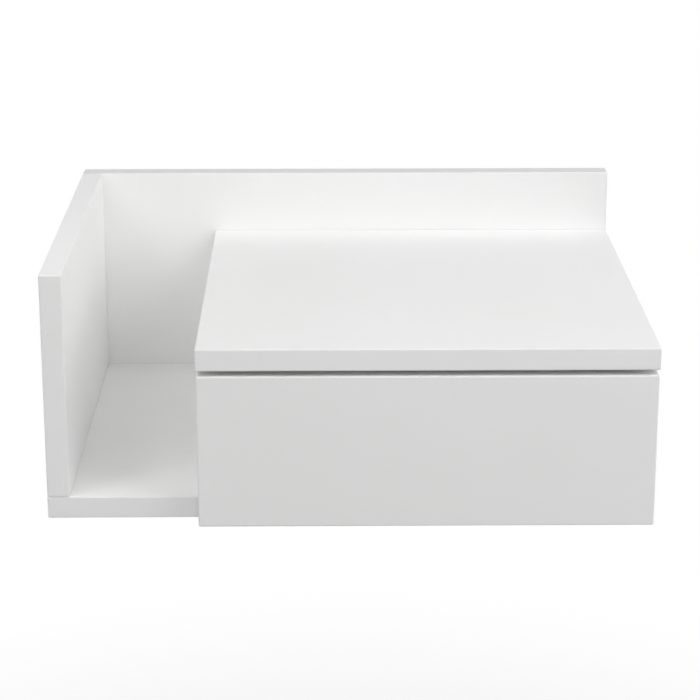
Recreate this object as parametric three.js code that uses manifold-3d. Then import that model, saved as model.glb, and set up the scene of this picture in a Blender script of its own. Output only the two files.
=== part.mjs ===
// Wall-hung nightstand in white lacquered board: an open pocket on the left, and on the right one drawer
// with no handle, which a push latch opens. The back board stands up behind the top as a low upstand.
// Millimetres, X to the right, Y towards the wall, Z up. The origin is the centre of the back board's
// rear face, the face that lies on the wall.

import * as THREE from 'three';
import { mergeVertices } from 'three/addons/utils/BufferGeometryUtils.js';
import { RoundedBoxGeometry } from 'three/addons/geometries/RoundedBoxGeometry.js';
import Module from 'manifold-3d';

const wasm = await Module();
wasm.setup();

// Driving dimensions of the case
const cabinetWidth = 400;
const cabinetDepth = 320;
const cabinetHeight = 167;
const boardThickness = 15;
const arrisRadius = 1.2;
const pocketWidth = 85;
const upstandHeight = 45;

// Driving dimensions of the drawer and its front
const frontThickness = 15;
const frontPushGap = 2;
const frontTopGap = 3.5;
const frontSideReveal = 0.5;
const runnerSpace = 12.5;
const drawerLift = 11;
const drawerHeadroom = 11;
const drawerSideThickness = 12;
const drawerArrisRadius = 0.8;

// Clearances that several pieces share
const seatGap = 0.2;
const screwFit = 0.3;
const cutOverrun = 2;

// Places that follow from the driving dimensions, with heights measured from the underside
const halfWidth = cabinetWidth / 2;
const backFaceY = -boardThickness;
const frontFaceY = -cabinetDepth;
const carcassFrontY = frontFaceY + frontThickness + frontPushGap;
const drawerFrontRearY = frontFaceY + frontThickness;
const floorZ = boardThickness;
const topUpperZ = cabinetHeight - upstandHeight;
const topUnderZ = topUpperZ - boardThickness;
const pocketLeftX = -halfWidth + boardThickness;
const dividerLeftX = pocketLeftX + pocketWidth;
const dividerRightX = dividerLeftX + boardThickness;
const bayRightX = halfWidth - boardThickness;
const bayCentreX = (dividerRightX + bayRightX) / 2;
const bayHalfWidth = (bayRightX - dividerRightX) / 2;
const leftBoardX = -halfWidth + boardThickness / 2;
const dividerBoardX = dividerLeftX + boardThickness / 2;
const rightBoardX = halfWidth - boardThickness / 2;

// Finishes, one new material for each piece
const whiteLacquer = () => new THREE.MeshStandardMaterial({ color: 0xf0f0ec, roughness: 0.35 });
const whiteFoil = () => new THREE.MeshStandardMaterial({ color: 0xe9e9e5, roughness: 0.55 });
const whiteHardboard = () => new THREE.MeshStandardMaterial({ color: 0xe3e2dc, roughness: 0.6 });
const zincSteel = () => new THREE.MeshStandardMaterial({ color: 0xb9bcbf, roughness: 0.35, metalness: 1 });
const springSteel = () => new THREE.MeshStandardMaterial({ color: 0x8f9294, roughness: 0.3, metalness: 1 });
const castZinc = () => new THREE.MeshStandardMaterial({ color: 0xa4a7a9, roughness: 0.5, metalness: 1 });
const runnerEnamel = () => new THREE.MeshStandardMaterial({ color: 0xeceded, roughness: 0.4 });
const rollerNylon = () => new THREE.MeshStandardMaterial({ color: 0xdedcd4, roughness: 0.5 });
const beechWood = () => new THREE.MeshStandardMaterial({ color: 0xcfa775, roughness: 0.7 });
const greyPlastic = () => new THREE.MeshStandardMaterial({ color: 0x9a9da0, roughness: 0.5 });

// A closed geometry as a solid that can be cut: only its positions stay, and shared corners are merged
function solidOf(geometry) {
  const bare = geometry.clone();
  bare.deleteAttribute('normal');
  bare.deleteAttribute('uv');
  const merged = mergeVertices(bare);
  const corners = merged.index.array;
  const kept = [];
  for (let i = 0; i < corners.length; i += 3) {
    const [a, b, c] = corners.slice(i, i + 3);
    if (a !== b && b !== c && c !== a) kept.push(a, b, c);
  }
  const vertProperties = Float32Array.from(merged.attributes.position.array);
  return new wasm.Manifold(new wasm.Mesh({ numProp: 3, vertProperties, triVerts: Uint32Array.from(kept) }));
}

function geometryOf(solid) {
  const mesh = solid.getMesh();
  const geometry = new THREE.BufferGeometry();
  geometry.setAttribute('position', new THREE.BufferAttribute(mesh.vertProperties, 3));
  geometry.setIndex(new THREE.BufferAttribute(mesh.triVerts, 1));
  geometry.computeVertexNormals();
  return geometry;
}

// The cutters lie in the cabinet's frame, and the geometry around its own centre
function cut(geometry, cutters, centre = new THREE.Vector3()) {
  if (cutters.length === 0) return geometry;
  let solid = solidOf(geometry);
  for (const cutter of cutters) {
    solid = solid.subtract(solidOf(cutter.clone().translate(-centre.x, -centre.y, -centre.z)));
  }
  return geometryOf(solid);
}

function piece(name, geometry, material, place = new THREE.Vector3()) {
  const mesh = new THREE.Mesh(geometry, material);
  mesh.name = name;
  mesh.position.copy(place);
  return mesh;
}

const corner = (x, y, z) => new THREE.Vector3(x, y, z);
const centreOf = (box) => box.getCenter(new THREE.Vector3());
const sizeOf = (box) => box.getSize(new THREE.Vector3());

// A board between two corners, with its edges rounded by sanding. An end that butts against another board
// is square: the board is made longer there, and a saw takes off the stretch that holds the rounding
const caseArris = { radius: arrisRadius, steps: 2 };
const drawerArris = { radius: drawerArrisRadius, steps: 1 };

function sawCut(finished, rough, end) {
  const size = sizeOf(rough).addScalar(2 * cutOverrun);
  const reach = (Math.abs(sizeOf(finished).dot(end)) + Math.abs(size.dot(end))) / 2;
  const middle = centreOf(finished).addScaledVector(end, reach);
  return new THREE.BoxGeometry(size.x, size.y, size.z).translate(middle.x, middle.y, middle.z);
}

function board(name, material, [low, high], cutters, buttEnds, arris = caseArris) {
  const finished = new THREE.Box3(low, high);
  const rough = finished.clone();
  for (const end of buttEnds) {
    rough.union(rough.clone().translate(end.clone().multiplyScalar(2 * arris.radius)));
  }
  const centre = centreOf(finished);
  const offset = centreOf(rough).sub(centre);
  const { x, y, z } = sizeOf(rough);
  const blank = new RoundedBoxGeometry(x, y, z, arris.steps, arris.radius);
  blank.translate(offset.x, offset.y, offset.z);
  const saws = buttEnds.map((end) => sawCut(finished, rough, end));
  return piece(name, cut(blank, [...saws, ...cutters], centre), material, centre);
}

const lathe = (profile, steps) => new THREE.LatheGeometry(
  profile.map(([radius, height]) => new THREE.Vector2(radius, height)), steps);

// Turns a geometry's own Y axis to a direction and moves it to a place
function aim(geometry, place, direction) {
  const turn = new THREE.Quaternion().setFromUnitVectors(new THREE.Vector3(0, 1, 0), direction);
  return geometry.clone().applyQuaternion(turn).translate(place.x, place.y, place.z);
}

function aimedPiece(name, geometry, material, place, direction) {
  const mesh = piece(name, geometry, material, place);
  mesh.quaternion.setFromUnitVectors(new THREE.Vector3(0, 1, 0), direction);
  return mesh;
}

const up = new THREE.Vector3(0, 0, 1);
const down = new THREE.Vector3(0, 0, -1);
const toWall = new THREE.Vector3(0, 1, 0);
const toFront = new THREE.Vector3(0, -1, 0);
const across = (sign) => new THREE.Vector3(sign, 0, 0);
const sides = [{ name: 'left', sign: -1 }, { name: 'right', sign: 1 }];

// Countersunk screws, all of one form: a flat head with a driving recess, a cone, a shank and a blunt tip
const screwSteps = 12;
const caseScrew = {
  length: 50, headRadius: 5, rim: 0.6, shankRadius: 3.2, tipRadius: 1.8, tipLength: 3,
  recessRadius: 2.3, recessDepth: 3, sunk: 0.5,
};
const smallHead = {
  headRadius: 3.2, rim: 0.3, shankRadius: 1.6, tipRadius: 0.6, tipLength: 2.5,
  recessWidth: 0.9, recessSpan: 3.4, recessDepth: 1.2, sunk: 0,
};

function screwBody(kind, fit, rise) {
  const coneEnd = -kind.rim - (kind.headRadius - kind.shankRadius);
  return lathe([
    [0, -kind.length - fit],
    [kind.tipRadius + fit, -kind.length - fit],
    [kind.shankRadius + fit, -kind.length + kind.tipLength],
    [kind.shankRadius + fit, coneEnd],
    [kind.headRadius + fit, -kind.rim],
    [kind.headRadius + fit, rise],
    [0, rise],
  ], screwSteps);
}

// A case screw takes a hexagon key, and a small one takes a cross
function drivingRecess(kind) {
  if (kind.recessRadius) {
    return [new THREE.CylinderGeometry(kind.recessRadius, kind.recessRadius, 2 * kind.recessDepth, 6)];
  }
  return [
    new THREE.BoxGeometry(kind.recessSpan, 2 * kind.recessDepth, kind.recessWidth),
    new THREE.BoxGeometry(kind.recessWidth, 2 * kind.recessDepth, kind.recessSpan),
  ];
}

// A screw is named by its kind, the point of the surface that it enters, and the way its head faces
const screwHead = ({ kind, surface, facing }) => surface.clone().addScaledVector(facing, -kind.sunk);

function screwPiece(screw, material) {
  const geometry = cut(screwBody(screw.kind, 0, 0), drivingRecess(screw.kind));
  return aimedPiece(screw.name, geometry, material, screwHead(screw), screw.facing);
}

const screwHole = (screw) =>
  aim(screwBody(screw.kind, screwFit, cutOverrun), screwHead(screw), screw.facing);

// Case screws from below, two into each upright board
const bottomScrewInset = 60;
const bottomScrews = [
  { name: 'left', x: leftBoardX },
  { name: 'divider', x: dividerBoardX },
  { name: 'right', x: rightBoardX },
].flatMap(({ name, x }) => [
  { end: 'front', y: carcassFrontY + bottomScrewInset },
  { end: 'rear', y: backFaceY - bottomScrewInset },
].map(({ end, y }) => (
  { name: `bottom_screw_${name}_${end}`, kind: caseScrew, surface: corner(x, y, 0), facing: down })));

// Case screws from behind, into the upright boards' rear edges and the top's
const sideScrewInset = 38;
const topScrewInset = 45;
const bayMiddleZ = (floorZ + topUnderZ) / 2;
const topMiddleZ = topUnderZ + boardThickness / 2;
const backScrews = [
  { name: 'back_screw_left_lower', x: leftBoardX, z: floorZ + sideScrewInset },
  { name: 'back_screw_left_upper', x: leftBoardX, z: cabinetHeight - sideScrewInset },
  { name: 'back_screw_divider', x: dividerBoardX, z: bayMiddleZ },
  { name: 'back_screw_right', x: rightBoardX, z: bayMiddleZ },
  { name: 'back_screw_top_left', x: dividerRightX + topScrewInset, z: topMiddleZ },
  { name: 'back_screw_top_right', x: bayRightX - topScrewInset, z: topMiddleZ },
].map(({ name, x, z }) => ({ name, kind: caseScrew, surface: corner(x, 0, z), facing: toWall }));

// Beech dowels between the top and the two boards under it, in blind holes
const dowelRadius = 4;
const dowelChamfer = 0.8;
const dowelTopCover = 4;
const dowelDownLength = 18;
const dowelEndPlay = 0.5;
const dowelInset = 65;
const dowelSteps = 12;
const dowelUpLength = boardThickness - dowelTopCover - dowelEndPlay;
const dowelPlaces = [
  { name: 'left', x: dividerBoardX },
  { name: 'right', x: rightBoardX },
].flatMap(({ name, x }) => [
  { name: `top_dowel_${name}_front`, place: corner(x, carcassFrontY + dowelInset, topUnderZ) },
  { name: `top_dowel_${name}_rear`, place: corner(x, backFaceY - dowelInset, topUnderZ) },
]);

const dowelPiece = ({ name, place }) => aimedPiece(name, lathe([
  [0, -dowelDownLength],
  [dowelRadius - dowelChamfer, -dowelDownLength],
  [dowelRadius, -dowelDownLength + dowelChamfer],
  [dowelRadius, dowelUpLength - dowelChamfer],
  [dowelRadius - dowelChamfer, dowelUpLength],
  [0, dowelUpLength],
], dowelSteps), beechWood(), place, up);

const dowelHole = ({ place }) => aim(lathe([
  [0, -dowelDownLength - dowelEndPlay],
  [dowelRadius + screwFit, -dowelDownLength - dowelEndPlay],
  [dowelRadius + screwFit, dowelUpLength + dowelEndPlay],
  [0, dowelUpLength + dowelEndPlay],
], dowelSteps), place, up);

// Holes for the four wall screws, in the drawer bay, where the drawer hides them
const wallHoleRadius = 4;
const wallHoleInsetX = 35;
const wallHoleInsetZ = 20;
const wallHoleSteps = 16;
const wallHoles = [dividerRightX + wallHoleInsetX, bayRightX - wallHoleInsetX].flatMap((x) =>
  [floorZ + wallHoleInsetZ, topUnderZ - wallHoleInsetZ].map((z) => {
    const length = boardThickness + 2 * cutOverrun;
    const hole = new THREE.CylinderGeometry(wallHoleRadius, wallHoleRadius, length, wallHoleSteps);
    return hole.translate(x, -boardThickness / 2, z);
  }));

// Drawer box: the room above, below and behind it sets its size
const latchReach = 39.5;
const latchStrikeGap = 0.3;
const drawerSideLowZ = floorZ + drawerLift;
const drawerSideHighZ = topUnderZ - drawerHeadroom;
const drawerMiddleZ = (drawerSideLowZ + drawerSideHighZ) / 2;
const drawerRearY = backFaceY - seatGap - latchReach - latchStrikeGap;
const drawerHalfWidth = bayHalfWidth - runnerSpace;
const drawerInnerHalfWidth = drawerHalfWidth - drawerSideThickness;
const drawerBackFrontY = drawerRearY - drawerSideThickness;

// Runners of folded sheet. On each side, u is the distance from the bay's middle line
const sheetThickness = 1.2;
const bendRadius = 0.8;
const bendSteps = 3;
const runnerLift = 8;
const runnerSetback = 1;
const runnerRearOverlap = 3;
const rollerRadius = 8.5;
const rollingGap = 0.2;
const channelPlay = 0.8;
const rollerSideGap = 0.6;
const rollerFarGap = 1.1;
const flangeEndGap = 0.8;
const lowerFlangeEndGap = 1;
const upperFlangeEndGap = 1.5;
const drawerFlangeSetIn = 0.5;
const cabinetRollerInset = 20;
const drawerRollerInset = 19;
const cabinetWebOuterU = bayHalfWidth - seatGap;
const cabinetWebInnerU = cabinetWebOuterU - sheetThickness;
const drawerWebInnerU = drawerHalfWidth + seatGap;
const drawerWebOuterU = drawerWebInnerU + sheetThickness;
const rollerWidth = cabinetWebInnerU - drawerWebOuterU - rollerSideGap - rollerFarGap;
const channelLowZ = floorZ + runnerLift;
const rollerZ = channelLowZ + sheetThickness + rollingGap + rollerRadius;
const drawerFlangeLowZ = rollerZ + rollerRadius + rollingGap;
const drawerFlangeHighZ = drawerFlangeLowZ + sheetThickness;
const channelHighZ = drawerFlangeHighZ + channelPlay + sheetThickness;
const cabinetRunnerFrontY = carcassFrontY + runnerSetback;
const cabinetRunnerRearY = drawerRearY + runnerRearOverlap;
const cabinetRollerY = cabinetRunnerFrontY + cabinetRollerInset;
const drawerRollerY = drawerRearY - drawerRollerInset;

// Each runner is one sheet folded along a line that runs through the middle of its thickness
const halfSheet = sheetThickness / 2;
const cabinetRunnerFold = [
  [drawerWebOuterU + lowerFlangeEndGap, channelLowZ + halfSheet],
  [cabinetWebOuterU - halfSheet, channelLowZ + halfSheet],
  [cabinetWebOuterU - halfSheet, channelHighZ - halfSheet],
  [drawerWebOuterU + upperFlangeEndGap, channelHighZ - halfSheet],
];

const drawerFlangeSeatZ = drawerSideLowZ - seatGap;
const drawerRunnerFold = [
  [drawerInnerHalfWidth + drawerFlangeSetIn, drawerFlangeSeatZ - halfSheet],
  [drawerWebOuterU - halfSheet, drawerFlangeSeatZ - halfSheet],
  [drawerWebOuterU - halfSheet, drawerFlangeHighZ - halfSheet],
  [cabinetWebInnerU - flangeEndGap, drawerFlangeHighZ - halfSheet],
];

// The outline of a sheet folded at right angles: each bend is an arc, and each point of the line has a
// point half a thickness to its left and one half a thickness to its right
function foldedOutline(fold, sign) {
  const corners = fold.map(([u, z]) => new THREE.Vector2(u, z));
  const left = [];
  const right = [];
  const addPair = (point, toLeft) => {
    left.push(point.clone().addScaledVector(toLeft, halfSheet));
    right.push(point.clone().addScaledVector(toLeft, -halfSheet));
  };
  const heading = (i) => corners[i + 1].clone().sub(corners[i]).normalize();
  const leftOf = (direction) => new THREE.Vector2(-direction.y, direction.x);
  addPair(corners[0], leftOf(heading(0)));
  for (let i = 1; i < corners.length - 1; i += 1) {
    const into = heading(i - 1);
    const out = heading(i);
    const turn = Math.sign(into.cross(out));
    const radius = bendRadius + halfSheet;
    const centre = corners[i].clone().addScaledVector(into, -radius).addScaledVector(out, radius);
    for (let step = 0; step <= bendSteps; step += 1) {
      const angle = Math.PI / 2 * step / bendSteps;
      const outward = into.clone().multiplyScalar(Math.sin(angle)).addScaledVector(out, -Math.cos(angle));
      addPair(centre.clone().addScaledVector(outward, radius), outward.multiplyScalar(-turn));
    }
  }
  addPair(corners.at(-1), leftOf(heading(corners.length - 2)));
  return [...left, ...right.reverse()].map(({ x, y }) => new THREE.Vector2(sign * x, y));
}

// The sheet runs from its rear end to its front
function runner(name, fold, sign, rearY, frontY, cutters) {
  const section = new THREE.Shape(foldedOutline(fold, sign));
  const sheet = new THREE.ExtrudeGeometry(section, { depth: rearY - frontY, bevelEnabled: false });
  sheet.rotateX(Math.PI / 2);
  const place = corner(bayCentreX, rearY, 0);
  return piece(name, cut(sheet, cutters, place), runnerEnamel(), place);
}

// Runner screws: the cabinet's go sideways into the boards, the drawer's go up into its sides
const runnerScrewCover = 2;
const cabinetRunnerScrewInset = 45;
const drawerRunnerScrewInset = 25;
const grooveLift = 10;
const cabinetRunnerScrew = { ...smallHead, length: boardThickness + sheetThickness - runnerScrewCover };
const drawerRunnerScrew = { ...smallHead, length: grooveLift };
const channelMiddleZ = (channelLowZ + channelHighZ) / 2;
const drawerSideMiddleU = drawerHalfWidth - drawerSideThickness / 2;

const cabinetRunnerScrews = (side) => [
  { end: 'front', y: cabinetRunnerFrontY + cabinetRunnerScrewInset },
  { end: 'rear', y: cabinetRunnerRearY - cabinetRunnerScrewInset },
].map(({ end, y }) => ({
  name: `cabinet_runner_screw_${side.name}_${end}`,
  kind: cabinetRunnerScrew,
  surface: corner(bayCentreX + side.sign * cabinetWebInnerU, y, channelMiddleZ),
  facing: across(-side.sign),
}));

const drawerRunnerScrews = (side) => [
  { end: 'front', y: drawerFrontRearY + drawerRunnerScrewInset },
  { end: 'rear', y: drawerRearY - drawerRunnerScrewInset },
].map(({ end, y }) => ({
  name: `drawer_runner_screw_${side.name}_${end}`,
  kind: drawerRunnerScrew,
  surface: corner(
    bayCentreX + side.sign * drawerSideMiddleU, y, drawerFlangeSeatZ - sheetThickness),
  facing: down,
}));

// Rollers and their riveted pins. Heights here run from the web that carries the pin
const pinRadius = 2.5;
const pinFit = 0.15;
const pinHeadOverhang = 1.7;
const pinHeadThickness = 1.2;
const pinHeadEndPlay = 0.3;
const pinHeadSunk = 0.2;
const pinTailSunk = 0.1;
const pinSteps = 10;
const rollerSteps = 18;
const rollerChamfer = 0.6;
const pinHeadRadius = pinRadius + pinHeadOverhang;
const rollerLow = rollerSideGap;
const rollerHigh = rollerLow + rollerWidth;
const pinHeadHigh = rollerHigh - pinHeadSunk;
const pinHeadLow = pinHeadHigh - pinHeadThickness;
const rollerStepHeight = pinHeadLow - pinHeadEndPlay;

const rollerBody = () => lathe([
  [pinRadius + pinFit, rollerLow],
  [rollerRadius - rollerChamfer, rollerLow],
  [rollerRadius, rollerLow + rollerChamfer],
  [rollerRadius, rollerHigh - rollerChamfer],
  [rollerRadius - rollerChamfer, rollerHigh],
  [pinHeadRadius + pinHeadEndPlay, rollerHigh],
  [pinHeadRadius + pinHeadEndPlay, rollerStepHeight],
  [pinRadius + pinFit, rollerStepHeight],
  [pinRadius + pinFit, rollerLow],
], rollerSteps);

const pinBody = () => lathe([
  [0, -sheetThickness + pinTailSunk],
  [pinRadius, -sheetThickness + pinTailSunk],
  [pinRadius, pinHeadLow],
  [pinHeadRadius, pinHeadLow],
  [pinHeadRadius, pinHeadHigh],
  [0, pinHeadHigh],
], pinSteps);

function pinHole(place, direction) {
  const radius = pinRadius + pinFit;
  const length = 2 * (sheetThickness + cutOverrun);
  return aim(new THREE.CylinderGeometry(radius, radius, length, rollerSteps), place, direction);
}

const cabinetPinPlace = (side) =>
  corner(bayCentreX + side.sign * cabinetWebInnerU, cabinetRollerY, rollerZ);
const drawerPinPlace = (side) =>
  corner(bayCentreX + side.sign * drawerWebOuterU, drawerRollerY, rollerZ);

function cabinetRunnerPieces(side) {
  const screws = cabinetRunnerScrews(side);
  const facing = across(-side.sign);
  const place = cabinetPinPlace(side);
  const cutters = [...screws.map(screwHole), pinHole(place, facing)];
  return [
    runner(`cabinet_runner_${side.name}`, cabinetRunnerFold, side.sign,
      cabinetRunnerRearY, cabinetRunnerFrontY, cutters),
    ...screws.map((screw) => screwPiece(screw, zincSteel())),
    aimedPiece(`cabinet_roller_pin_${side.name}`, pinBody(), zincSteel(), place, facing),
    aimedPiece(`cabinet_roller_${side.name}`, rollerBody(), rollerNylon(), place, facing),
  ];
}

function drawerRunnerPieces(side) {
  const screws = drawerRunnerScrews(side);
  const facing = across(side.sign);
  const place = drawerPinPlace(side);
  const cutters = [...screws.map(screwHole), pinHole(place, facing)];
  return [
    runner(`drawer_runner_${side.name}`, drawerRunnerFold, side.sign,
      drawerRearY, drawerFrontRearY + seatGap, cutters),
    ...screws.map((screw) => screwPiece(screw, zincSteel())),
    aimedPiece(`drawer_roller_pin_${side.name}`, pinBody(), zincSteel(), place, facing),
    aimedPiece(`drawer_roller_${side.name}`, rollerBody(), rollerNylon(), place, facing),
  ];
}

// Push latch on the back board, behind the drawer. Heights run forward from the back board's face
const latchFlangeLength = 46;
const latchFlangeWidth = 18;
const latchFlangeThickness = 3;
const latchBarrelRadius = 8;
const latchBarrelLength = 31.8;
const latchFrontWall = 3;
const latchBoreRadius = 6.6;
const plungerFit = 0.3;
const plungerShaftRadius = 4.3;
const plungerHeadThickness = 3;
const plungerStroke = 10;
const plungerEndPlay = 0.3;
const plungerNoseLength = 1.5;
const plungerNoseInset = 1;
const latchSteps = 16;
const latchScrewSpacing = 32;
const latchBoreFront = latchBarrelLength - latchFrontWall;
const plungerHeadFront = latchBoreFront - plungerEndPlay - plungerStroke;
const plungerHeadRear = plungerHeadFront - plungerHeadThickness;
const plungerHeadRadius = latchBoreRadius - plungerFit;
const latchPlace = corner(bayCentreX, backFaceY - seatGap, drawerMiddleZ);

const latchScrew = { ...smallHead, length: latchFlangeThickness + boardThickness - 2 * runnerScrewCover };
const latchScrews = sides.map((side) => ({
  name: `latch_screw_${side.name}`,
  kind: latchScrew,
  surface: corner(
    latchPlace.x + side.sign * latchScrewSpacing / 2, latchPlace.y - latchFlangeThickness, latchPlace.z),
  facing: toFront,
}));

// The flange is an oblong with round ends, and the barrel a cup whose mouth lets the plunger out
function latchHousing() {
  const endRadius = latchFlangeWidth / 2;
  const endX = latchFlangeLength / 2 - endRadius;
  const outline = new THREE.Shape();
  outline.absarc(endX, 0, endRadius, -Math.PI / 2, Math.PI / 2);
  outline.absarc(-endX, 0, endRadius, Math.PI / 2, 3 * Math.PI / 2);
  const flange = new THREE.ExtrudeGeometry(outline,
    { depth: latchFlangeThickness, bevelEnabled: false, curveSegments: latchSteps / 2 });
  flange.rotateX(-Math.PI / 2);
  const barrel = lathe([
    [0, latchFlangeThickness / 2],
    [latchBarrelRadius, latchFlangeThickness / 2],
    [latchBarrelRadius, latchBarrelLength],
    [0, latchBarrelLength],
  ], latchSteps);
  const bore = lathe([
    [0, latchFlangeThickness],
    [latchBoreRadius, latchFlangeThickness],
    [latchBoreRadius, latchBoreFront],
    [plungerShaftRadius + plungerFit, latchBoreFront],
    [plungerShaftRadius + plungerFit, latchBarrelLength + cutOverrun],
    [0, latchBarrelLength + cutOverrun],
  ], latchSteps);
  const body = geometryOf(solidOf(flange).add(solidOf(barrel)).subtract(solidOf(bore)));
  const toLatch = (geometry) =>
    geometry.translate(-latchPlace.x, -latchPlace.y, -latchPlace.z).rotateZ(-Math.PI);
  return cut(body, latchScrews.map((screw) => toLatch(screwHole(screw))));
}

const plungerBody = () => lathe([
  [0, plungerHeadRear],
  [plungerHeadRadius, plungerHeadRear],
  [plungerHeadRadius, plungerHeadFront],
  [plungerShaftRadius, plungerHeadFront],
  [plungerShaftRadius, latchReach - plungerNoseLength],
  [plungerShaftRadius - plungerNoseInset, latchReach],
  [0, latchReach],
], latchSteps);

// Compression spring between the bottom of the bore and the plunger's head
const springCoilRadius = 4.6;
const springWireRadius = 0.45;
const springTurns = 6;
const springStepsPerTurn = 8;
const springWireSides = 5;

class Helix extends THREE.Curve {
  constructor(radius, turns, low, high) {
    super();
    Object.assign(this, { radius, turns, low, high });
  }

  getPoint(share, target = new THREE.Vector3()) {
    const angle = 2 * Math.PI * this.turns * share;
    return target.set(
      this.radius * Math.cos(angle),
      THREE.MathUtils.lerp(this.low, this.high, share),
      this.radius * Math.sin(angle));
  }
}

function latchSpring() {
  const endGap = seatGap + springWireRadius;
  const path = new Helix(
    springCoilRadius, springTurns, latchFlangeThickness + endGap, plungerHeadRear - endGap);
  const wire = new THREE.Shape(Array.from({ length: springWireSides }, (_, i) => {
    const angle = 2 * Math.PI * i / springWireSides;
    return new THREE.Vector2(springWireRadius * Math.cos(angle), springWireRadius * Math.sin(angle));
  }));
  return new THREE.ExtrudeGeometry(wire,
    { steps: springTurns * springStepsPerTurn, extrudePath: path, bevelEnabled: false });
}

function latchGroup() {
  const group = new THREE.Group();
  group.position.copy(latchPlace);
  group.rotation.z = Math.PI;
  group.add(
    piece('latch_housing', latchHousing(), greyPlastic()),
    piece('latch_plunger', plungerBody(), greyPlastic()),
    piece('latch_spring', latchSpring(), springSteel()));
  return group;
}

// Drawer fittings: a cam in each side grips a bolt that is screwed into the drawer front
const camRadius = 7.3;
const camDepth = 9.3;
const camFit = 0.3;
const camSteps = 16;
const camSlotWidth = 1.4;
const camSlotLength = 9;
const camSlotDepth = 1.6;
const boltThreadLength = 10;
const boltThreadRadius = 2.8;
const boltCollarRadius = 3.2;
const boltCollarLength = 1.5;
const boltNeckRadius = 2;
const boltHeadRadius = 3;
const boltHeadLength = 2.5;
const boltReach = 24;
const boltFit = 0.4;
const boltSteps = 10;

const boltPlace = (side) =>
  corner(bayCentreX + side.sign * drawerSideMiddleU, drawerFrontRearY, drawerMiddleZ);

const boltBody = () => lathe([
  [0, -boltThreadLength],
  [boltThreadRadius, -boltThreadLength],
  [boltThreadRadius, seatGap],
  [boltCollarRadius, seatGap],
  [boltCollarRadius, seatGap + boltCollarLength],
  [boltNeckRadius, seatGap + boltCollarLength],
  [boltNeckRadius, boltReach - boltHeadLength],
  [boltHeadRadius, boltReach - boltHeadLength],
  [boltHeadRadius, boltReach],
  [0, boltReach],
], boltSteps);

const boltHole = (side) => aim(lathe([
  [0, -boltThreadLength - boltFit],
  [boltThreadRadius + boltFit, -boltThreadLength - boltFit],
  [boltThreadRadius + boltFit, 0],
  [boltCollarRadius + boltFit, 0],
  [boltCollarRadius + boltFit, boltReach + boltFit],
  [0, boltReach + boltFit],
], boltSteps), boltPlace(side), toWall);

// The cam lies across the side board, open to the drawer's inside, with the bolt's head at its middle
const camCentreY = drawerFrontRearY + boltReach - boltHeadLength / 2;
const camFacePlace = (side) =>
  corner(bayCentreX + side.sign * (drawerInnerHalfWidth + seatGap), camCentreY, drawerMiddleZ);

function camPiece(side) {
  const body = lathe([[0, -camDepth], [camRadius, -camDepth], [camRadius, 0], [0, 0]], camSteps);
  const slot = new THREE.BoxGeometry(camSlotWidth, 2 * camSlotDepth, camSlotLength);
  const facing = across(-side.sign);
  const place = camFacePlace(side);
  const turned = aim(cut(body, [slot]), place, facing);
  const gripped = cut(turned, [boltHole(side)]);
  const geometry = gripped.translate(-place.x, -place.y, -place.z);
  return piece(`drawer_cam_${side.name}`, geometry, castZinc(), place);
}

const camHole = (side) => aim(lathe([
  [0, -camDepth - camFit],
  [camRadius + camFit, -camDepth - camFit],
  [camRadius + camFit, cutOverrun],
  [0, cutOverrun],
], camSteps), camFacePlace(side), across(-side.sign));

// Screws through the drawer's sides into the ends of its back, between the runner and the sides' top edge
const drawerBackScrew = { ...smallHead, length: 40 };
const lowerScrewShare = 0.2;
const upperScrewShare = 0.8;
const drawerBackScrews = (side) => [
  { end: 'lower', z: THREE.MathUtils.lerp(drawerFlangeHighZ, drawerSideHighZ, lowerScrewShare) },
  { end: 'upper', z: THREE.MathUtils.lerp(drawerFlangeHighZ, drawerSideHighZ, upperScrewShare) },
].map(({ end, z }) => ({
  name: `drawer_back_screw_${side.name}_${end}`,
  kind: drawerBackScrew,
  surface: corner(
    bayCentreX + side.sign * drawerHalfWidth, drawerRearY - drawerSideThickness / 2, z),
  facing: across(side.sign),
}));

// Drawer bottom in a groove that runs round the box and into the drawer front
const drawerBottomThickness = 3;
const grooveDepth = 5;
const grooveFit = 0.2;
const bottomEndPlay = 0.5;
const grooveLowZ = drawerSideLowZ + grooveLift;
const grooveHighZ = grooveLowZ + drawerBottomThickness + 2 * grooveFit;
const grooveHalfWidth = drawerInnerHalfWidth + grooveDepth;
const grooveFrontY = drawerFrontRearY - grooveDepth;
const grooveRearY = drawerBackFrontY + grooveDepth;

function groove() {
  const channel = new THREE.BoxGeometry(
    2 * grooveHalfWidth, grooveRearY - grooveFrontY, grooveHighZ - grooveLowZ);
  return channel.translate(
    bayCentreX, (grooveRearY + grooveFrontY) / 2, (grooveLowZ + grooveHighZ) / 2);
}

function drawerBottom() {
  const halfSpan = grooveHalfWidth - bottomEndPlay;
  const sheet = new THREE.BoxGeometry(
    2 * halfSpan, grooveRearY - grooveFrontY - 2 * bottomEndPlay, drawerBottomThickness);
  const middle = corner(
    bayCentreX, (grooveRearY + grooveFrontY) / 2, (grooveLowZ + grooveHighZ) / 2);
  return piece('drawer_bottom', sheet, whiteHardboard(), middle);
}

function drawerSide(side) {
  const outerX = bayCentreX + side.sign * drawerHalfWidth;
  const innerX = bayCentreX + side.sign * drawerInnerHalfWidth;
  const cutters = [
    groove(), boltHole(side), camHole(side),
    ...drawerBackScrews(side).map(screwHole),
    ...drawerRunnerScrews(side).map(screwHole),
  ];
  return board(`drawer_side_${side.name}`, whiteFoil(), [
    corner(Math.min(outerX, innerX), drawerFrontRearY + seatGap, drawerSideLowZ),
    corner(Math.max(outerX, innerX), drawerRearY, drawerSideHighZ),
  ], cutters, [toFront], drawerArris);
}

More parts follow.
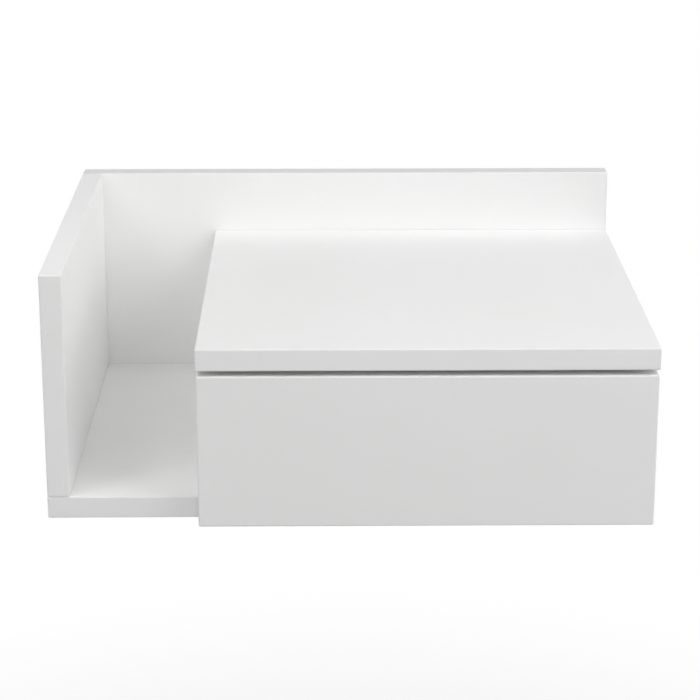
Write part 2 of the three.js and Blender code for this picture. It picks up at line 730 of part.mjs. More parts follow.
function drawerBack() {
  const halfSpan = drawerInnerHalfWidth - seatGap;
  return board('drawer_back', whiteFoil(), [
    corner(bayCentreX - halfSpan, drawerBackFrontY, drawerSideLowZ),
    corner(bayCentreX + halfSpan, drawerRearY, drawerSideHighZ),
  ], [groove(), ...sides.flatMap((side) => drawerBackScrews(side).map(screwHole))],
  sides.map((side) => across(side.sign)), drawerArris);
}

function drawerFront() {
  return board('drawer_front', whiteLacquer(), [
    corner(dividerLeftX + frontSideReveal, frontFaceY, 0),
    corner(halfWidth - frontSideReveal, drawerFrontRearY, topUnderZ - frontTopGap),
  ], [groove(), ...sides.map(boltHole)], []);
}

// Case boards. Each joint between two boards keeps a thin glue gap
function caseBoards() {
  const wallScrewHoles = sides.map((side) => cabinetRunnerScrews(side).map(screwHole));
  const bottomHoles = bottomScrews.map(screwHole);
  const backHoles = backScrews.map(screwHole);
  const dowelHoles = dowelPlaces.map(dowelHole);
  const uprightCutters = [...bottomHoles, ...backHoles, ...dowelHoles];
  const rearEndY = backFaceY - seatGap;
  const seatZ = floorZ + seatGap;
  const underTopZ = topUnderZ - seatGap;
  return [
    board('back_panel', whiteLacquer(), [
      corner(-halfWidth, backFaceY, 0), corner(halfWidth, 0, cabinetHeight),
    ], [...backHoles, ...wallHoles, ...latchScrews.map(screwHole)], []),
    board('bottom_panel', whiteLacquer(), [
      corner(-halfWidth, carcassFrontY, 0), corner(halfWidth, rearEndY, floorZ),
    ], bottomHoles, [toWall]),
    board('left_side_panel', whiteLacquer(), [
      corner(-halfWidth, carcassFrontY, seatZ), corner(pocketLeftX, rearEndY, cabinetHeight),
    ], uprightCutters, [toWall, down]),
    board('divider_panel', whiteLacquer(), [
      corner(dividerLeftX, carcassFrontY, seatZ), corner(dividerRightX, rearEndY, underTopZ),
    ], [...uprightCutters, ...wallScrewHoles[0]], [toWall, down, up]),
    board('right_side_panel', whiteLacquer(), [
      corner(bayRightX, carcassFrontY, seatZ), corner(halfWidth, rearEndY, underTopZ),
    ], [...uprightCutters, ...wallScrewHoles[1]], [toWall, down, up]),
    board('top_panel', whiteLacquer(), [
      corner(dividerLeftX, frontFaceY, topUnderZ), corner(halfWidth, rearEndY, topUpperZ),
    ], [...backHoles, ...dowelHoles], [toWall]),
  ];
}

function cabinetGroup() {
  const group = new THREE.Group();
  group.add(
    ...caseBoards(),
    ...[...bottomScrews, ...backScrews].map((screw) => screwPiece(screw, zincSteel())),
    ...dowelPlaces.map(dowelPiece),
    ...sides.flatMap(cabinetRunnerPieces),
    latchGroup(),
    ...latchScrews.map((screw) => screwPiece(screw, zincSteel())));
  return group;
}

function drawerGroup() {
  const group = new THREE.Group();
  group.add(
    drawerFront(),
    ...sides.map(drawerSide),
    drawerBack(),
    drawerBottom(),
    ...sides.flatMap(drawerRunnerPieces),
    ...sides.map(camPiece),
    ...sides.map((side) => aimedPiece(
      `drawer_cam_bolt_${side.name}`, boltBody(), zincSteel(), boltPlace(side), toWall)),
    ...sides.flatMap((side) => drawerBackScrews(side).map((screw) => screwPiece(screw, zincSteel()))));
  return group;
}

const nightstand = new THREE.Group();
const fromUnderside = new THREE.Group();
fromUnderside.position.z = -cabinetHeight / 2;
fromUnderside.add(cabinetGroup(), drawerGroup());
nightstand.add(fromUnderside);

export default nightstand;
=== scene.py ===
import math

import bmesh
import bpy
import numpy as np
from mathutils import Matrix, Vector


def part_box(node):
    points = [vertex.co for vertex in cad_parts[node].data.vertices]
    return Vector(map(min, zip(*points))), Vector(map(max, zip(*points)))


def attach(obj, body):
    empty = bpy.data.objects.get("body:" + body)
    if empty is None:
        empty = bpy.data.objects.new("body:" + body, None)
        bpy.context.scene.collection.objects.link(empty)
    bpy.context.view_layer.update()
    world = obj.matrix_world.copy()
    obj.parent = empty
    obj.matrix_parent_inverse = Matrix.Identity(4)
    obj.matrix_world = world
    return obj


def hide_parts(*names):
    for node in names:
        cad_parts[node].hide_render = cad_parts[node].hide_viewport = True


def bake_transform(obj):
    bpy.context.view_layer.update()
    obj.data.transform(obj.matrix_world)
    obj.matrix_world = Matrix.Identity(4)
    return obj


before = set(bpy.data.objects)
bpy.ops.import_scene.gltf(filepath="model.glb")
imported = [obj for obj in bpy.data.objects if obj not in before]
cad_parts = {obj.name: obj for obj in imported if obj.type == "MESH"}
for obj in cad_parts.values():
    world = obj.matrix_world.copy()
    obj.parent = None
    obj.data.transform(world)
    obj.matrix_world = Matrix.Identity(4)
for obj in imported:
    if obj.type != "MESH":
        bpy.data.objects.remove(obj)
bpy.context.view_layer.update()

mm = 0.001

# Back board: one full-width piece of fibreboard, its edges sanded round, sprayed with white semi-gloss
# lacquer. It lies on the wall, and its upper edge stands up behind the top as a low upstand. The four
# plain holes take wall screws, and the countersunk ones take the screws into the other boards.
merge_distance = 0.01 * mm
flat_turn = math.radians(0.5)
sharp_turn = math.radians(50)
bevel_segments = 2


def show(name, mesh, body, slot, material, *nodes):
    """A piece at the origin with its place in its mesh, smooth except along its sharp edges. It stands for
    the given nodes of the frame."""
    mesh.materials.clear()
    mesh.materials.append(material)
    mesh.shade_smooth()
    mesh.set_sharp_from_angle(angle=sharp_turn)
    piece = bpy.data.objects.new(name, mesh)
    bpy.context.scene.collection.objects.link(piece)
    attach(piece, body)
    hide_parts(*nodes)
    return piece


def finished(node, body, slot, material, bevel=0.0):
    """A solid of the frame with its loose triangles merged, its flats joined and, where a bevel is given,
    its sharp edges broken. The normals it came with are dropped, because they would hide some of its sharp
    edges, and the new ones are led by the large faces, so that flats stay flat and rounds round. The bevel
    isn't clamped, because a single pair of close corners would then narrow it all round."""
    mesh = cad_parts[node].data.copy()
    mesh.name = node + "_finished"
    shell = bmesh.new()
    shell.from_mesh(mesh)
    bmesh.ops.remove_doubles(shell, verts=shell.verts, dist=merge_distance)
    bmesh.ops.dissolve_limit(shell, angle_limit=flat_turn, verts=shell.verts, edges=shell.edges)
    shell.to_mesh(mesh)
    shell.free()
    old_normals = mesh.attributes.get("custom_normal")
    if old_normals is not None:
        mesh.attributes.remove(old_normals)
    piece = show(mesh.name, mesh, body, slot, material, node)
    if bevel:
        edge = piece.modifiers.new("broken_edges", "BEVEL")
        edge.width = bevel
        edge.segments = bevel_segments
        edge.limit_method = "ANGLE"
        edge.angle_limit = sharp_turn
        edge.use_clamp_overlap = False
        edge.loop_slide = False
        weld = piece.modifiers.new("joined_points", "WELD")
        weld.merge_threshold = merge_distance
    weight = piece.modifiers.new("flat_faces", "WEIGHTED_NORMAL")
    weight.keep_sharp = True
    return piece


def blank(name):
    """A new material: its node tree, its Principled shader and the object's own coordinates."""
    material = bpy.data.materials.new(name)
    material.use_nodes = True
    tree = material.node_tree
    place = tree.nodes.new("ShaderNodeTexCoord").outputs["Object"]
    return material, tree, tree.nodes["Principled BSDF"], place


def shade(tree, kind, inputs, **settings):
    """A shader node with its settings, whose inputs take a value or another node's output."""
    made = tree.nodes.new("ShaderNode" + kind)
    for setting, value in settings.items():
        setattr(made, setting, value)
    for socket, value in inputs.items():
        if isinstance(value, bpy.types.NodeSocket):
            tree.links.new(value, made.inputs[socket])
        else:
            made.inputs[socket].default_value = value
    return made


noise_roughness = 0.55
noise_span = (0.3, 0.7)
whole_range = (0.0, 1.0)


def noise(tree, place, size, detail=2.0, stretch=(1.0, 1.0, 1.0)):
    """Soft random patches about as large as size, longer along the axes where stretch is above one. Nearly
    all of their values lie within the noise span."""
    along = shade(tree, "Mapping", {"Vector": place, "Scale": [1 / s for s in stretch]})
    made = shade(tree, "TexNoise", {
        "Vector": along.outputs["Vector"],
        "Scale": 1 / size,
        "Detail": detail,
        "Roughness": noise_roughness,
    })
    return made.outputs["Fac"]


def ramp(tree, value, span, result=whole_range):
    """A value that goes from the result's first number to its second as the given one crosses the span."""
    made = shade(tree, "MapRange", {
        "Value": value,
        "From Min": span[0],
        "From Max": span[1],
        "To Min": result[0],
        "To Max": result[1],
    }, interpolation_type="SMOOTHSTEP")
    return made.outputs["Result"]


def maths(tree, operation, a, b):
    """One step of arithmetic on two numbers or sockets."""
    return shade(tree, "Math", {0: a, 1: b}, operation=operation).outputs[0]


def tinted(tree, share, first, second):
    """A colour that goes from the first to the second with the share."""
    mix_first, mix_second, mix_result = 6, 7, 2
    sides = {"Factor": share, mix_first: rgba(first), mix_second: rgba(second)}
    return shade(tree, "Mix", sides, data_type="RGBA").outputs[mix_result]


def rgba(colour):
    """A colour with its alpha, or the socket that carries one."""
    return colour if isinstance(colour, bpy.types.NodeSocket) else (*colour, 1.0)


def relief(tree, height, depth, below=None):
    """A bump of that height map over that depth, laid over the relief below it where there is one."""
    inputs = {"Height": height, "Distance": depth, "Strength": 1.0}
    if below is not None:
        inputs["Normal"] = below
    return shade(tree, "Bump", inputs).outputs["Normal"]


def edge_distance(tree, place, node):
    """How far a point of a board's surface is from the nearest edge: the middle one of its distances to the
    three pairs of sides of the board's box."""
    low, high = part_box(node)
    offset = shade(tree, "VectorMath", {0: place, 1: (low + high) / 2}, operation="SUBTRACT")
    size = shade(tree, "VectorMath", {0: offset.outputs[0]}, operation="ABSOLUTE")
    depth = shade(tree, "VectorMath", {0: (high - low) / 2, 1: size.outputs[0]}, operation="SUBTRACT")
    x, y, z = shade(tree, "SeparateXYZ", {0: depth.outputs[0]}).outputs
    nearer = maths(tree, "MINIMUM", x, y)
    farther = maths(tree, "MAXIMUM", x, y)
    return maths(tree, "MAXIMUM", nearer, maths(tree, "MINIMUM", farther, z))


lacquer_light = (0.90, 0.90, 0.898)
lacquer_dark = (0.885, 0.884, 0.88)
# The edges' colour: thin, rubbed lacquer, darkened further as painted shade over the rounded edges'
# highlight.
thin_lacquer_and_edge_shade = (0.80, 0.797, 0.786)
# Painted shade on the back board's upper edge, as a wall behind it would cast.
painted_wall_shade_tone = (0.76, 0.76, 0.755)
wall_shade_depth = 0.5 * mm
lacquer_cloud = 140 * mm
lacquer_patch = 12 * mm
lacquer_roughness = (0.46, 0.54)
lacquer_gloss = 0.18
orange_peel = 3.5 * mm
orange_peel_depth = 0.01 * mm
sanding_grain = 0.5 * mm
sanding_depth = 0.0015 * mm
worn_width = 1.6 * mm
worn_roughness = 0.12
rubbed_patches = (0.45, 0.7)
rubbed_and_shaded_share = (0.45, 0.85)


def lacquer(node, shade_above=None):
    """White semi-gloss lacquer: faintly cloudy, with the orange peel of a spray gun. Along a board's edges
    the coat is thinner, so it is rougher and rubbed here and there. The colour there is darker, partly as
    thin, rubbed coat and partly as painted shade that dulls the highlight on the rounded edges. Above the
    given height the upper edge is greyer: painted shade, as a wall behind it would cast."""
    material, tree, surface, place = blank("lacquer_" + node)
    cloud = noise(tree, place, lacquer_cloud)
    grain = noise(tree, place, sanding_grain, detail=3.0)
    patches = noise(tree, place, lacquer_patch, detail=4.0)
    near_edge = ramp(tree, edge_distance(tree, place, node), (0.0, worn_width), (1.0, 0.0))
    # Darker edges: partly rubbed, thin coat and partly painted shade that damps the highlight on the
    # rounded edges.
    rubbed = maths(tree, "MULTIPLY", near_edge, ramp(tree, patches, rubbed_patches, rubbed_and_shaded_share))
    body = tinted(tree, ramp(tree, cloud, noise_span), lacquer_dark, lacquer_light)
    # Above the given height the colour is darkened: painted shade of a wall behind, not a property of the
    # lacquer.
    if shade_above is not None:
        height = shade(tree, "SeparateXYZ", {0: place}).outputs["Z"]
        wall_shade = ramp(tree, height, (shade_above, shade_above + wall_shade_depth))
        body = tinted(tree, wall_shade, body, painted_wall_shade_tone)
    tree.links.new(tinted(tree, rubbed, body, thin_lacquer_and_edge_shade), surface.inputs["Base Color"])
    sheen = ramp(tree, patches, noise_span, lacquer_roughness)
    worn = maths(tree, "MULTIPLY", near_edge, worn_roughness)
    tree.links.new(maths(tree, "ADD", sheen, worn), surface.inputs["Roughness"])
    peel = relief(tree, noise(tree, place, orange_peel), orange_peel_depth)
    tree.links.new(relief(tree, grain, sanding_depth, peel), surface.inputs["Normal"])
    surface.inputs["Specular IOR Level"].default_value = lacquer_gloss
    return material


# The back board's upper edge gets a strip of painted shade, as a wall behind it would cast.
back_board_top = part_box("back_panel")[1].z
back_lacquer = lacquer("back_panel", back_board_top - wall_shade_depth)
finished("back_panel", "cabinet", "white_lacquer", back_lacquer)


# Bottom board: the same lacquered fibreboard, full width, under the pocket and the drawer. Six countersunk
# holes in its underside take the screws into the upright boards.
def case_board(node, body="cabinet"):
    """A board of the case or the drawer's front, in its own coat of lacquer."""
    return finished(node, body, "white_lacquer", lacquer(node))


case_board("bottom_panel")

# Upright boards: lacquered fibreboard. The left side reaches the full height, and the divider and the right
# side carry the top. They stand on the bottom board, screwed from below and from behind.
for upright in ("left_side_panel", "divider_panel", "right_side_panel"):
    case_board(upright)

# Top board: lacquered fibreboard over the drawer bay only, its front edge flush with the drawer front.
# Dowels under it and two screws from behind hold it.
case_board("top_panel")

# Case screws: zinc-plated steel, fully threaded under a plain neck, with a countersunk head and a hexagon
# socket. Six come up through the bottom board and six come forward through the back board.
case_pitch = 3.2 * mm
case_root_share = 0.72
case_neck_length = 12 * mm
case_thread_gap = 0.5 * mm
case_tip_length = 4 * mm
case_tip_step = 0.2 * mm
case_point_share = 0.55
case_head_ledge = 1.8 * mm
case_rim = 0.6 * mm
socket_radius = 2.3 * mm
socket_depth = 3 * mm
head_edge = 0.15 * mm
screw_columns = 48
thread_rows_per_turn = 8
ridge_top = 1.6
ridge_fall = 3.2
full_turn = 2 * math.pi
seam_distance = 0.001 * mm


def quads(rows, columns):
    """The faces of a grid of rows by columns that closes on itself round the columns."""
    row, column = np.meshgrid(np.arange(rows - 1), np.arange(columns), indexing="ij")
    beside = (column + 1) % columns
    corners = (row * columns + column, row * columns + beside,
               (row + 1) * columns + beside, (row + 1) * columns + column)
    return np.stack(corners, axis=-1).reshape(-1, 4)


def mesh_of(name, points, faces):
    """A closed mesh of these points and faces. Its doubles are merged, so that its poles and its seam
    close, and its faces point outwards."""
    mesh = bpy.data.meshes.new(name)
    mesh.from_pydata(points.reshape(-1, 3).tolist(), [], faces.tolist())
    shell = bmesh.new()
    shell.from_mesh(mesh)
    bmesh.ops.remove_doubles(shell, verts=shell.verts, dist=seam_distance)
    bmesh.ops.recalc_face_normals(shell, faces=shell.faces)
    shell.to_mesh(mesh)
    shell.free()
    return mesh


def turned(name, radii, heights, foot, axis):
    """A turned form. Point (i, j) lies at the height heights[i, j] along the axis from the foot and at the
    distance radii[i, j] from the axis, in the direction 2 pi j / columns. Rows of radius zero close it."""
    radii, heights = np.broadcast_arrays(radii, heights)
    axis = np.array(axis, float)
    first = np.array([0.0, 0.0, 1.0]) if abs(axis[2]) < 0.5 else np.array([1.0, 0.0, 0.0])
    second = np.cross(axis, first)
    angles = np.arange(radii.shape[1]) * full_turn / radii.shape[1]
    spokes = np.outer(np.cos(angles), first) + np.outer(np.sin(angles), second)
    points = np.array(foot) + heights[..., None] * axis + radii[..., None] * spokes
    return mesh_of(name, points, quads(*radii.shape))


def rings(profile, columns):
    """Rows of a turned form from pairs of radius and height, each one number or one for each column."""
    radii = np.stack([np.broadcast_to(radius, columns) for radius, _ in profile])
    heights = np.stack([np.broadcast_to(height, columns) for _, height in profile])
    return radii, heights


def stacked(*stretches):
    """The rows of several stretches of a turned form, one stretch after the other."""
    return [np.vstack(rows) for rows in zip(*stretches)]


def hexagon(corner, angles):
    """The outline of a hexagon with its corners at that radius: the distance of its flats, over the cosine
    of the angle from the middle of the nearest flat."""
    sixth = full_turn / 6
    return corner * math.cos(sixth / 2) / np.cos(np.mod(angles, sixth) - sixth / 2)


def thread(crest, root, low, high, pitch, columns):
    """A thread. Its radius rises from root to crest, as a tent with a cut top, where the height over the
    pitch, less the share of the turn, is near a half past a whole number. At both of its ends it fades
    into the root."""
    heights = np.linspace(low, high, int((high - low) / pitch * thread_rows_per_turn))[:, None]
    share = np.mod(heights / pitch - np.arange(columns) / columns, 1.0)
    ridge = np.clip(ridge_top - ridge_fall * np.abs(share - 0.5), 0.0, 1.0)
    fade = np.clip(np.minimum(heights - low, high - heights) / pitch, 0.0, 1.0)
    return root + (crest - root) * ridge * fade, np.broadcast_to(heights, (len(heights), columns))


def end_of(node, axis):
    """The middle of the end from which a node's box reaches along the axis, its length along the axis and
    half its width across it."""
    low, high = (np.array(corner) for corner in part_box(node))
    axis = np.array(axis, float)
    size = high - low
    length = float(size @ np.abs(axis))
    across = float(np.max(size * (1 - np.abs(axis)))) / 2
    return (low + high) / 2 - axis * length / 2, length, across


metal_span = (0.35, 0.65)
pit_share = 0.15
zinc_light = (0.70, 0.71, 0.72)
zinc_dark = (0.56, 0.57, 0.58)
zinc_roughness = (0.24, 0.4)
zinc_patch = 2.5 * mm
zinc_pit_depth = 0.01 * mm


def metal(name, light, dark, roughness, patch, pit_depth):
    """Bare metal: its tone and its polish drift in patches, and fine pits break the reflections."""
    material, tree, surface, place = blank(name)
    cloud = noise(tree, place, patch, detail=4.0)
    pits = noise(tree, place, pit_share * patch)
    tone = tinted(tree, ramp(tree, cloud, metal_span), dark, light)
    tree.links.new(tone, surface.inputs["Base Color"])
    tree.links.new(ramp(tree, cloud, noise_span, roughness), surface.inputs["Roughness"])
    tree.links.new(relief(tree, pits, pit_depth), surface.inputs["Normal"])
    surface.inputs["Metallic"].default_value = 1.0
    return material


zinc_plate = metal("zinc_plate", zinc_light, zinc_dark, zinc_roughness, zinc_patch, zinc_pit_depth)


def case_screw(node, axis):
    """A turned screw: its rings go from the middle of the socket out to the head's rim, down the cone and
    the neck, and along the thread to the tip. Heights run into the board from the head."""
    foot, length, head = end_of(node, axis)
    shank = head - case_head_ledge
    angles = np.arange(screw_columns) * full_turn / screw_columns
    socket = hexagon(socket_radius, angles)
    top = rings([
        (0.0, socket_depth),
        (socket, socket_depth),
        (socket, head_edge),
        (socket + head_edge, 0.0),
        (head - head_edge, 0.0),
        (head, head_edge),
        (head, case_rim),
        (shank, case_rim + head - shank),
        (shank, case_neck_length),
    ], screw_columns)
    root = case_root_share * shank
    low, high = case_neck_length + case_thread_gap, length - case_tip_length
    winding = thread(shank, root, low, high, case_pitch, screw_columns)
    tip = rings([
        (root, high + case_tip_step),
        (case_point_share * root, length),
        (0.0, length),
    ], screw_columns)
    mesh = turned(node + "_threaded", *stacked(top, winding, tip), foot, axis)
    return show(mesh.name, mesh, "cabinet", "zinc_steel", zinc_plate, node)


up, to_front, to_wall = (0, 0, 1), (0, -1, 0), (0, 1, 0)
for board in ("left", "divider", "right"):
    case_screw(f"bottom_screw_{board}_front", up)
    case_screw(f"bottom_screw_{board}_rear", up)
for place in ("left_lower", "left_upper", "divider", "right", "top_left", "top_right"):
    case_screw(f"back_screw_{place}", to_front)

# Dowels: fluted beech pins with turned ends, glued half into the top board and half into the boards
# under it, two over the divider and two over the right side.
dowel_flutes = 20
dowel_flute_depth = 0.35 * mm
dowel_chamfer = 0.8 * mm
dowel_columns = 4 * dowel_flutes
beech_light = (0.66, 0.46, 0.27)
beech_dark = (0.47, 0.30, 0.15)
beech_ring = 0.5 * mm
beech_ring_stretch = (1.0, 1.0, 14.0)
beech_ring_span = (0.35, 0.65)
beech_fleck = 0.25 * mm
beech_fleck_stretch = (1.0, 1.0, 6.0)
beech_fleck_span = (0.62, 0.7)
beech_fleck_share = (0.0, 0.5)
beech_roughness = (0.6, 0.8)
beech_relief = 0.05 * mm


def beech(name):
    """Beech: pale wood whose rings run along the pin, with short dark flecks."""
    material, tree, surface, place = blank(name)
    rings_along = noise(tree, place, beech_ring, detail=5.0, stretch=beech_ring_stretch)
    fleck = noise(tree, place, beech_fleck, stretch=beech_fleck_stretch)
    wood = tinted(tree, ramp(tree, rings_along, beech_ring_span), beech_dark, beech_light)
    wood = tinted(tree, ramp(tree, fleck, beech_fleck_span, beech_fleck_share), wood, beech_dark)
    tree.links.new(wood, surface.inputs["Base Color"])
    tree.links.new(ramp(tree, rings_along, noise_span, beech_roughness), surface.inputs["Roughness"])
    tree.links.new(relief(tree, rings_along, beech_relief), surface.inputs["Normal"])
    return material


dowel_beech = beech("dowel_beech")


def dowel(node):
    """A turned pin whose radius dips by the flutes' depth as often as there are flutes, as a cosine of the
    direction does, and whose ends taper to a flat."""
    foot, length, radius = end_of(node, up)
    dip = 0.5 - 0.5 * np.cos(dowel_flutes * np.arange(dowel_columns) * full_turn / dowel_columns)
    fluted = radius - dowel_flute_depth * dip
    narrow = radius - dowel_chamfer
    form = rings([
        (0.0, 0.0),
        (narrow, 0.0),
        (fluted, dowel_chamfer),
        (fluted, length - dowel_chamfer),
        (narrow, length),
        (0.0, length),
    ], dowel_columns)
    mesh = turned(node + "_fluted", *form, foot, up)
    return show(mesh.name, mesh, "cabinet", "beech", dowel_beech, node)


for side in ("left", "right"):
    dowel(f"top_dowel_{side}_front")
    dowel(f"top_dowel_{side}_rear")

# Cabinet runners: channels of folded sheet steel with white baked enamel, screwed to the divider and the
# right side. The drawer's rollers run inside them.
sheet_edge = 0.12 * mm
enamel_light = (0.83, 0.84, 0.84)
enamel_dark = (0.78, 0.79, 0.79)
bare_sheet = (0.5, 0.5, 0.49)
enamel_cloud = 30 * mm
enamel_patch = 5 * mm
enamel_peel = 1.2 * mm
enamel_peel_depth = 0.015 * mm
enamel_roughness = (0.28, 0.4)
enamel_worn_width = 0.8 * mm
enamel_rubbed_patches = (0.45, 0.6)
enamel_rubbed_share = (0.0, 0.6)


def enamel(name, node):
    """Baked enamel: smooth white with a fine texture. The cut edges of the sheet are rubbed grey."""
    material, tree, surface, place = blank(name)
    cloud = noise(tree, place, enamel_cloud, detail=3.0)
    peel = noise(tree, place, enamel_peel)
    patches = noise(tree, place, enamel_patch, detail=4.0)
    near_edge = ramp(tree, edge_distance(tree, place, node), (0.0, enamel_worn_width), (1.0, 0.0))
    chipped = ramp(tree, patches, enamel_rubbed_patches, enamel_rubbed_share)
    rubbed = maths(tree, "MULTIPLY", near_edge, chipped)
    paint = tinted(tree, cloud, enamel_dark, enamel_light)
    tree.links.new(tinted(tree, rubbed, paint, bare_sheet), surface.inputs["Base Color"])
    tree.links.new(ramp(tree, patches, noise_span, enamel_roughness), surface.inputs["Roughness"])
    tree.links.new(relief(tree, peel, enamel_peel_depth), surface.inputs["Normal"])
    return material


def runner(node, body):
    """A runner with its cut edges broken, in its own coat of enamel."""
    return finished(node, body, "runner_enamel", enamel("enamel_" + node, node), bevel=sheet_edge)


# Runner screws: small countersunk wood screws of zinc-plated steel, with a cross in the head. They go
# through the runners into the boards. The same screws hold the latch and the drawer's back.
small_pitch = 1.4 * mm
small_root_share = 0.62
small_neck_length = 3 * mm
small_thread_gap = 0.2 * mm
small_tip_length = 2.5 * mm
small_tip_step = 0.1 * mm
small_point_share = 0.2
small_point_length = 0.2 * mm
small_shank_share = 0.5
small_rim = 0.3 * mm
small_edge = 0.08 * mm
cross_width = 0.9 * mm
cross_span = 3.4 * mm
cross_depth = 1.2 * mm
cross_bottom_share = 0.6
least_share = 1e-9


def cross(width, span, angles):
    """The outline of a cross of two bars: the farther of the two bars' outlines in each direction."""
    x = np.maximum(np.abs(np.cos(angles)), least_share)
    y = np.maximum(np.abs(np.sin(angles)), least_share)
    one = np.minimum(span / 2 / x, width / 2 / y)
    other = np.minimum(width / 2 / x, span / 2 / y)
    return np.maximum(one, other)


def small_screw(node, axis, body):
    """A turned screw as the case screw is, with a cross that narrows towards its bottom. The half column's
    turn lays the columns evenly on both sides of the cross's arms."""
    foot, length, head = end_of(node, axis)
    shank = small_shank_share * head
    angles = (np.arange(screw_columns) + 0.5) * full_turn / screw_columns
    recess = cross(cross_width, cross_span, angles)
    deep = cross_bottom_share * recess
    top = rings([
        (0.0, cross_depth),
        (deep, cross_depth),
        (recess, small_edge),
        (recess + small_edge, 0.0),
        (head - small_edge, 0.0),
        (head, small_edge),
        (head, small_rim),
        (shank, small_rim + head - shank),
        (shank, small_neck_length),
    ], screw_columns)
    root = small_root_share * shank
    low, high = small_neck_length + small_thread_gap, length - small_tip_length
    winding = thread(shank, root, low, high, small_pitch, screw_columns)
    tip = rings([
        (root, high + small_tip_step),
        (small_point_share * root, length - small_point_length),
        (0.0, length),
    ], screw_columns)
    mesh = turned(node + "_threaded", *stacked(top, winding, tip), foot, axis)
    return show(mesh.name, mesh, body, "zinc_steel", zinc_plate, node)


outward = {"left": (-1, 0, 0), "right": (1, 0, 0)}
inward = {"left": (1, 0, 0), "right": (-1, 0, 0)}
for side in ("left", "right"):
    runner(f"cabinet_runner_{side}", "cabinet")
    small_screw(f"cabinet_runner_screw_{side}_front", outward[side], "cabinet")
    small_screw(f"cabinet_runner_screw_{side}_rear", outward[side], "cabinet")

# Rollers: moulded nylon wheels on riveted steel pins. The cabinet's turn at the front of its runners,
# and the drawer's at the rear of its own.
roller_columns = 144
roller_web_depth = 1.4 * mm
roller_tyre = 2.0 * mm
roller_round = 0.6 * mm
roller_web_slope = 0.4 * mm
roller_ribs = 6
rib_rise = 1.5
rib_foot = 0.35
pin_radius = 2.5 * mm
pin_clearance = 0.15 * mm
pin_head_radius = 4.2 * mm
pin_head_thickness = 1.2 * mm
pin_head_clearance = 0.3 * mm
pin_head_sunk = 0.2 * mm
arc_steps = 5
nylon_light = (0.79, 0.78, 0.74)
nylon_dark = (0.70, 0.69, 0.65)
nylon_flow = 4 * mm
nylon_flow_span = (0.35, 0.7)
nylon_roughness = (0.38, 0.52)
nylon_grain = 0.4 * mm
nylon_grain_depth = 0.01 * mm


def arc(centre, radius, start, end, steps=arc_steps):
    """Points of a profile's round stretch: the centre plus the radius times the cosine and the sine of an
    angle, which counts from the direction of growing radius."""
    return [(centre[0] + radius * math.cos(a), centre[1] + radius * math.sin(a))
            for a in np.linspace(math.radians(start), math.radians(end), steps)]


def nylon(name):
    """Moulded nylon: milky, with faint greyer flow marks and a fine grain."""
    material, tree, surface, place = blank(name)
    flow = noise(tree, place, nylon_flow, detail=4.0)
    grain = noise(tree, place, nylon_grain)
    milk = tinted(tree, ramp(tree, flow, nylon_flow_span), nylon_dark, nylon_light)
    tree.links.new(milk, surface.inputs["Base Color"])
    tree.links.new(ramp(tree, flow, noise_span, nylon_roughness), surface.inputs["Roughness"])
    tree.links.new(relief(tree, grain, nylon_grain_depth), surface.inputs["Normal"])
    return material


roller_nylon = nylon("roller_nylon")


def roller(node, axis, body):
    """A turned wheel with a rounded tread and a bore. Between its tyre and its hub lies a shallow web,
    whose floor rises to ribs as a clipped cosine of the direction does. Heights run from the face next to
    the runner to the face with the pin's head."""
    foot, length, radius = end_of(node, axis)
    bore = pin_radius + pin_clearance
    hub = pin_head_radius + pin_head_clearance
    step = length - pin_head_sunk - pin_head_thickness - pin_head_clearance
    inner_tyre = radius - roller_tyre
    turns = np.arange(roller_columns) / roller_columns
    rib = np.clip(rib_rise * np.cos(roller_ribs * full_turn * turns) - rib_foot, 0.0, 1.0)
    web_low, web_high = roller_web_depth * (1 - rib), length - roller_web_depth * (1 - rib)
    slope = roller_web_slope
    profile = [
        (bore, 0.0),
        (hub + slope, 0.0),
        (hub + 2 * slope, web_low),
        (inner_tyre - slope, web_low),
        (inner_tyre, 0.0),
        *arc((radius - roller_round, roller_round), roller_round, -90, 0),
        *arc((radius - roller_round, length - roller_round), roller_round, 0, 90),
        (inner_tyre, length),
        (inner_tyre - slope, web_high),
        (hub + 2 * slope, web_high),
        (hub + slope, length),
        (hub, length),
        (hub, step),
        (bore, step),
        (bore, 0.0),
    ]
    mesh = turned(node + "_moulded", *rings(profile, roller_columns), foot, axis)
    return show(mesh.name, mesh, body, "roller_nylon", roller_nylon, node)


pin_head_round = 0.35 * mm
pin_hollow_rim_share = 0.45
pin_hollow_floor_share = 0.4
pin_hollow_depth = 0.2 * mm
pin_middle_depth = 0.25 * mm


def roller_pin(node, axis, body):
    """A turned rivet: a plain pin, and a wide head with a rounded edge and a shallow hollow in its
    middle."""
    foot, length, head = end_of(node, axis)
    under = length - pin_head_thickness
    profile = [
        (0.0, 0.0),
        (pin_radius, 0.0),
        (pin_radius, under),
        (head, under),
        *arc((head - pin_head_round, length - pin_head_round), pin_head_round, 0, 90),
        (pin_hollow_rim_share * head, length),
        (pin_hollow_floor_share * head, length - pin_hollow_depth),
        (0.0, length - pin_middle_depth),
    ]
    mesh = turned(node + "_riveted", *rings(profile, screw_columns), foot, axis)
    return show(mesh.name, mesh, body, "zinc_steel", zinc_plate, node)


for side in ("left", "right"):
    roller(f"cabinet_roller_{side}", inward[side], f"cabinet_roller_{side}")
    roller_pin(f"cabinet_roller_pin_{side}", inward[side], "cabinet")

# Push latch: a grey moulded housing on the back board, held by two small screws. Its sprung plunger
# reaches the drawer's back, because the drawer front has no handle.
latch_edge = 0.12 * mm
grey_light = (0.37, 0.38, 0.39)
grey_dark = (0.32, 0.33, 0.34)
mould_flow = 9 * mm
mould_texture = 0.35 * mm
mould_texture_depth = 0.02 * mm
mould_roughness = (0.42, 0.6)


